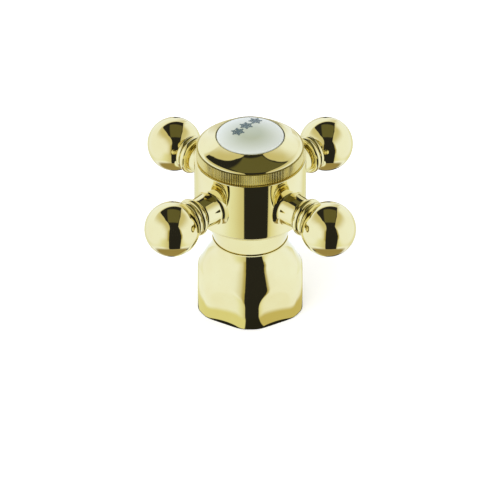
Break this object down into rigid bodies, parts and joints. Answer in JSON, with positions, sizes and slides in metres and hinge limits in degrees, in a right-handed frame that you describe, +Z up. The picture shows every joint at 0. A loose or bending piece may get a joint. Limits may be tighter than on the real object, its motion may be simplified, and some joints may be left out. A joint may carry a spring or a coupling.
{
  "type": "cross-handle tap head",
  "caption": "Tap head with a ball-ended cross handle, knurled screw cap, porcelain index and bell shroud over a quarter-turn ceramic valve.",
  "frame": {"origin": "centre of the shroud's rim, where the tap head stands on the tap body", "axes": "+Z up the spindle; the four arms lie at 45 degrees to X and Y; the pictured side is -Y"},
  "size_m": [0.0578, 0.0578, 0.0556],
  "materials": {
    "polished_gold": "polished gold plate on brass",
    "porcelain": "glazed",
    "steel": "bright zinc",
    "valve_brass": "turned",
    "nylon": "matt",
    "rubber": "matt",
    "alumina": "lapped",
    "fibre": "vulcanised fibre"
  },
  "bodies": {
    "base": {"bell_shroud": "polished_gold", "shroud_nut": "valve_brass", "bonnet": "valve_brass", "body_washer": "fibre", "fixed_disc": "alumina", "seat_washer": "rubber", "thrust_washer": "nylon"},
    "handle": {"hub": "polished_gold", "skirt": "polished_gold", "arm_front_left": "polished_gold", "arm_front_right": "polished_gold", "arm_back_left": "polished_gold", "arm_back_right": "polished_gold", "arm_studs": "steel", "spline_adapter": "nylon", "spindle": "valve_brass", "spindle_o_rings": "rubber", "spindle_clip": "steel", "moving_disc": "alumina", "handle_screw": "steel", "screw_washer": "steel"},
    "index": {"index_disc": "porcelain", "index_ring": "steel"},
    "cap": {"knurled_cap": "polished_gold"}
  },
  "joints": [
    {"name": "handle_turn", "type": "hinge", "parent": "base", "child": "handle", "pos_m": [0, 0, 0], "axis": [0, 0, 1], "range_deg": [0, 90]},
    {"name": "cap_lift", "type": "slide", "parent": "handle", "child": "index", "axis": [0, 0, 1], "range_m": [0, 0.002]},
    {"name": "cap_turn", "type": "hinge", "parent": "index", "child": "cap", "pos_m": [0, 0, 0.05], "axis": [0, 0, 1], "range_deg": [0, 720]}
  ],
  "couplings": [
    {"joint": "cap_turn", "follows": "cap_lift", "rad_per_m": 6283.2}
  ]
}
